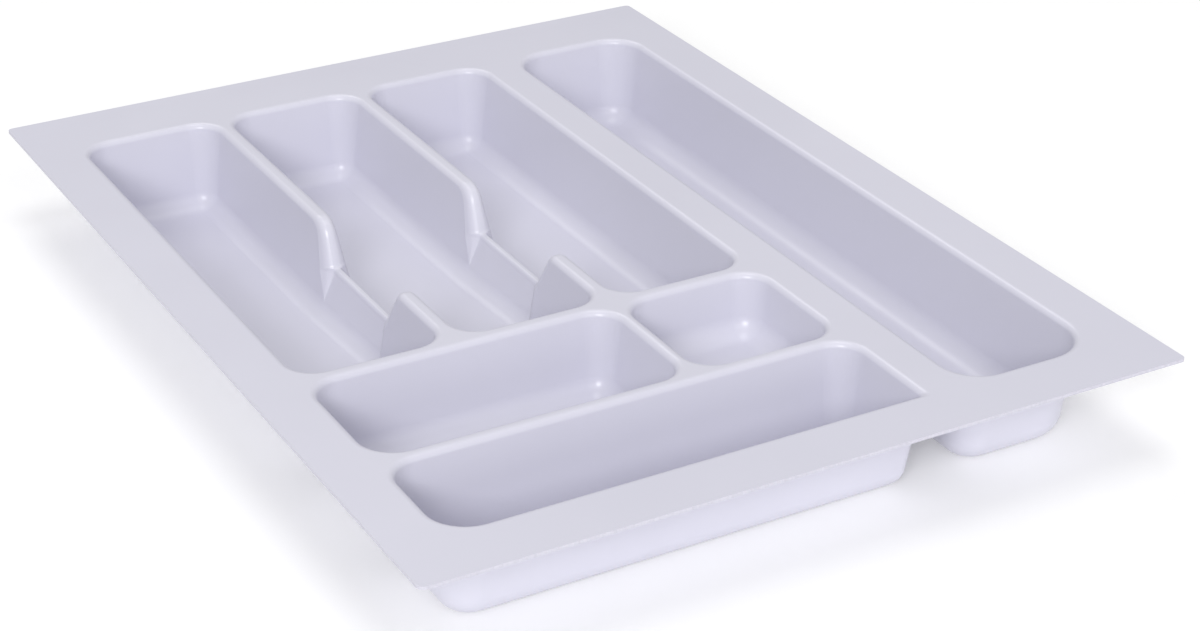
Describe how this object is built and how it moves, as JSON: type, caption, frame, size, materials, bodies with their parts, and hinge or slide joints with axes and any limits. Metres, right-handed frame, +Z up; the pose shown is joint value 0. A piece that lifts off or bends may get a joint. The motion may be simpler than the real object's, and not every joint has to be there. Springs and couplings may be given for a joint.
{
  "type": "cutlery tray",
  "caption": "Open drawer insert for cutlery: a flat-bordered plastic sheet moulded into long and short compartments, with finger notches in the ribs.",
  "frame": {"origin": "middle of the tray's outline, on the plane that the deepest compartments stand on", "axes": "+X along the front edge to the right, +Y from the front edge to the back, +Z up"},
  "size_m": [0.372, 0.49, 0.0485],
  "materials": {
    "tray_plastic": "glossy pale lavender grey, slightly soft from the mould"
  },
  "bodies": {
    "root": {"cutlery_tray": "tray_plastic"}
  },
  "joints": []
}
